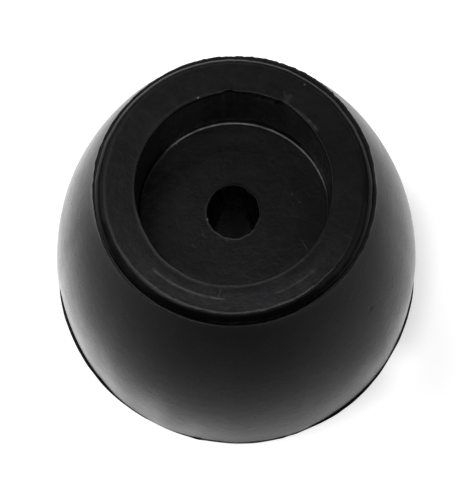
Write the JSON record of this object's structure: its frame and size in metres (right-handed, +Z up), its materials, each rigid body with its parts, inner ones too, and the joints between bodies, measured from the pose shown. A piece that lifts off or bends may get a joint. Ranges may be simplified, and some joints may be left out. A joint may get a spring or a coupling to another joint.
{
  "type": "rubber bump stop",
  "caption": "Solid rubber bump stop: round foot, bulging sides drawn in to a flat bump face, deep recess for a screw head, and a hole down the middle.",
  "frame": {"origin": "centre of the foot's flat face, on the axis of the screw hole", "axes": "+Z up along the screw hole, from the foot to the bump face; X and Y are free, because the part is round"},
  "size_m": [0.05, 0.05, 0.037],
  "materials": {
    "rubber": "satin moulded black rubber, lightly scuffed"
  },
  "bodies": {
    "root": {"bump_stop": "rubber"}
  },
  "joints": []
}
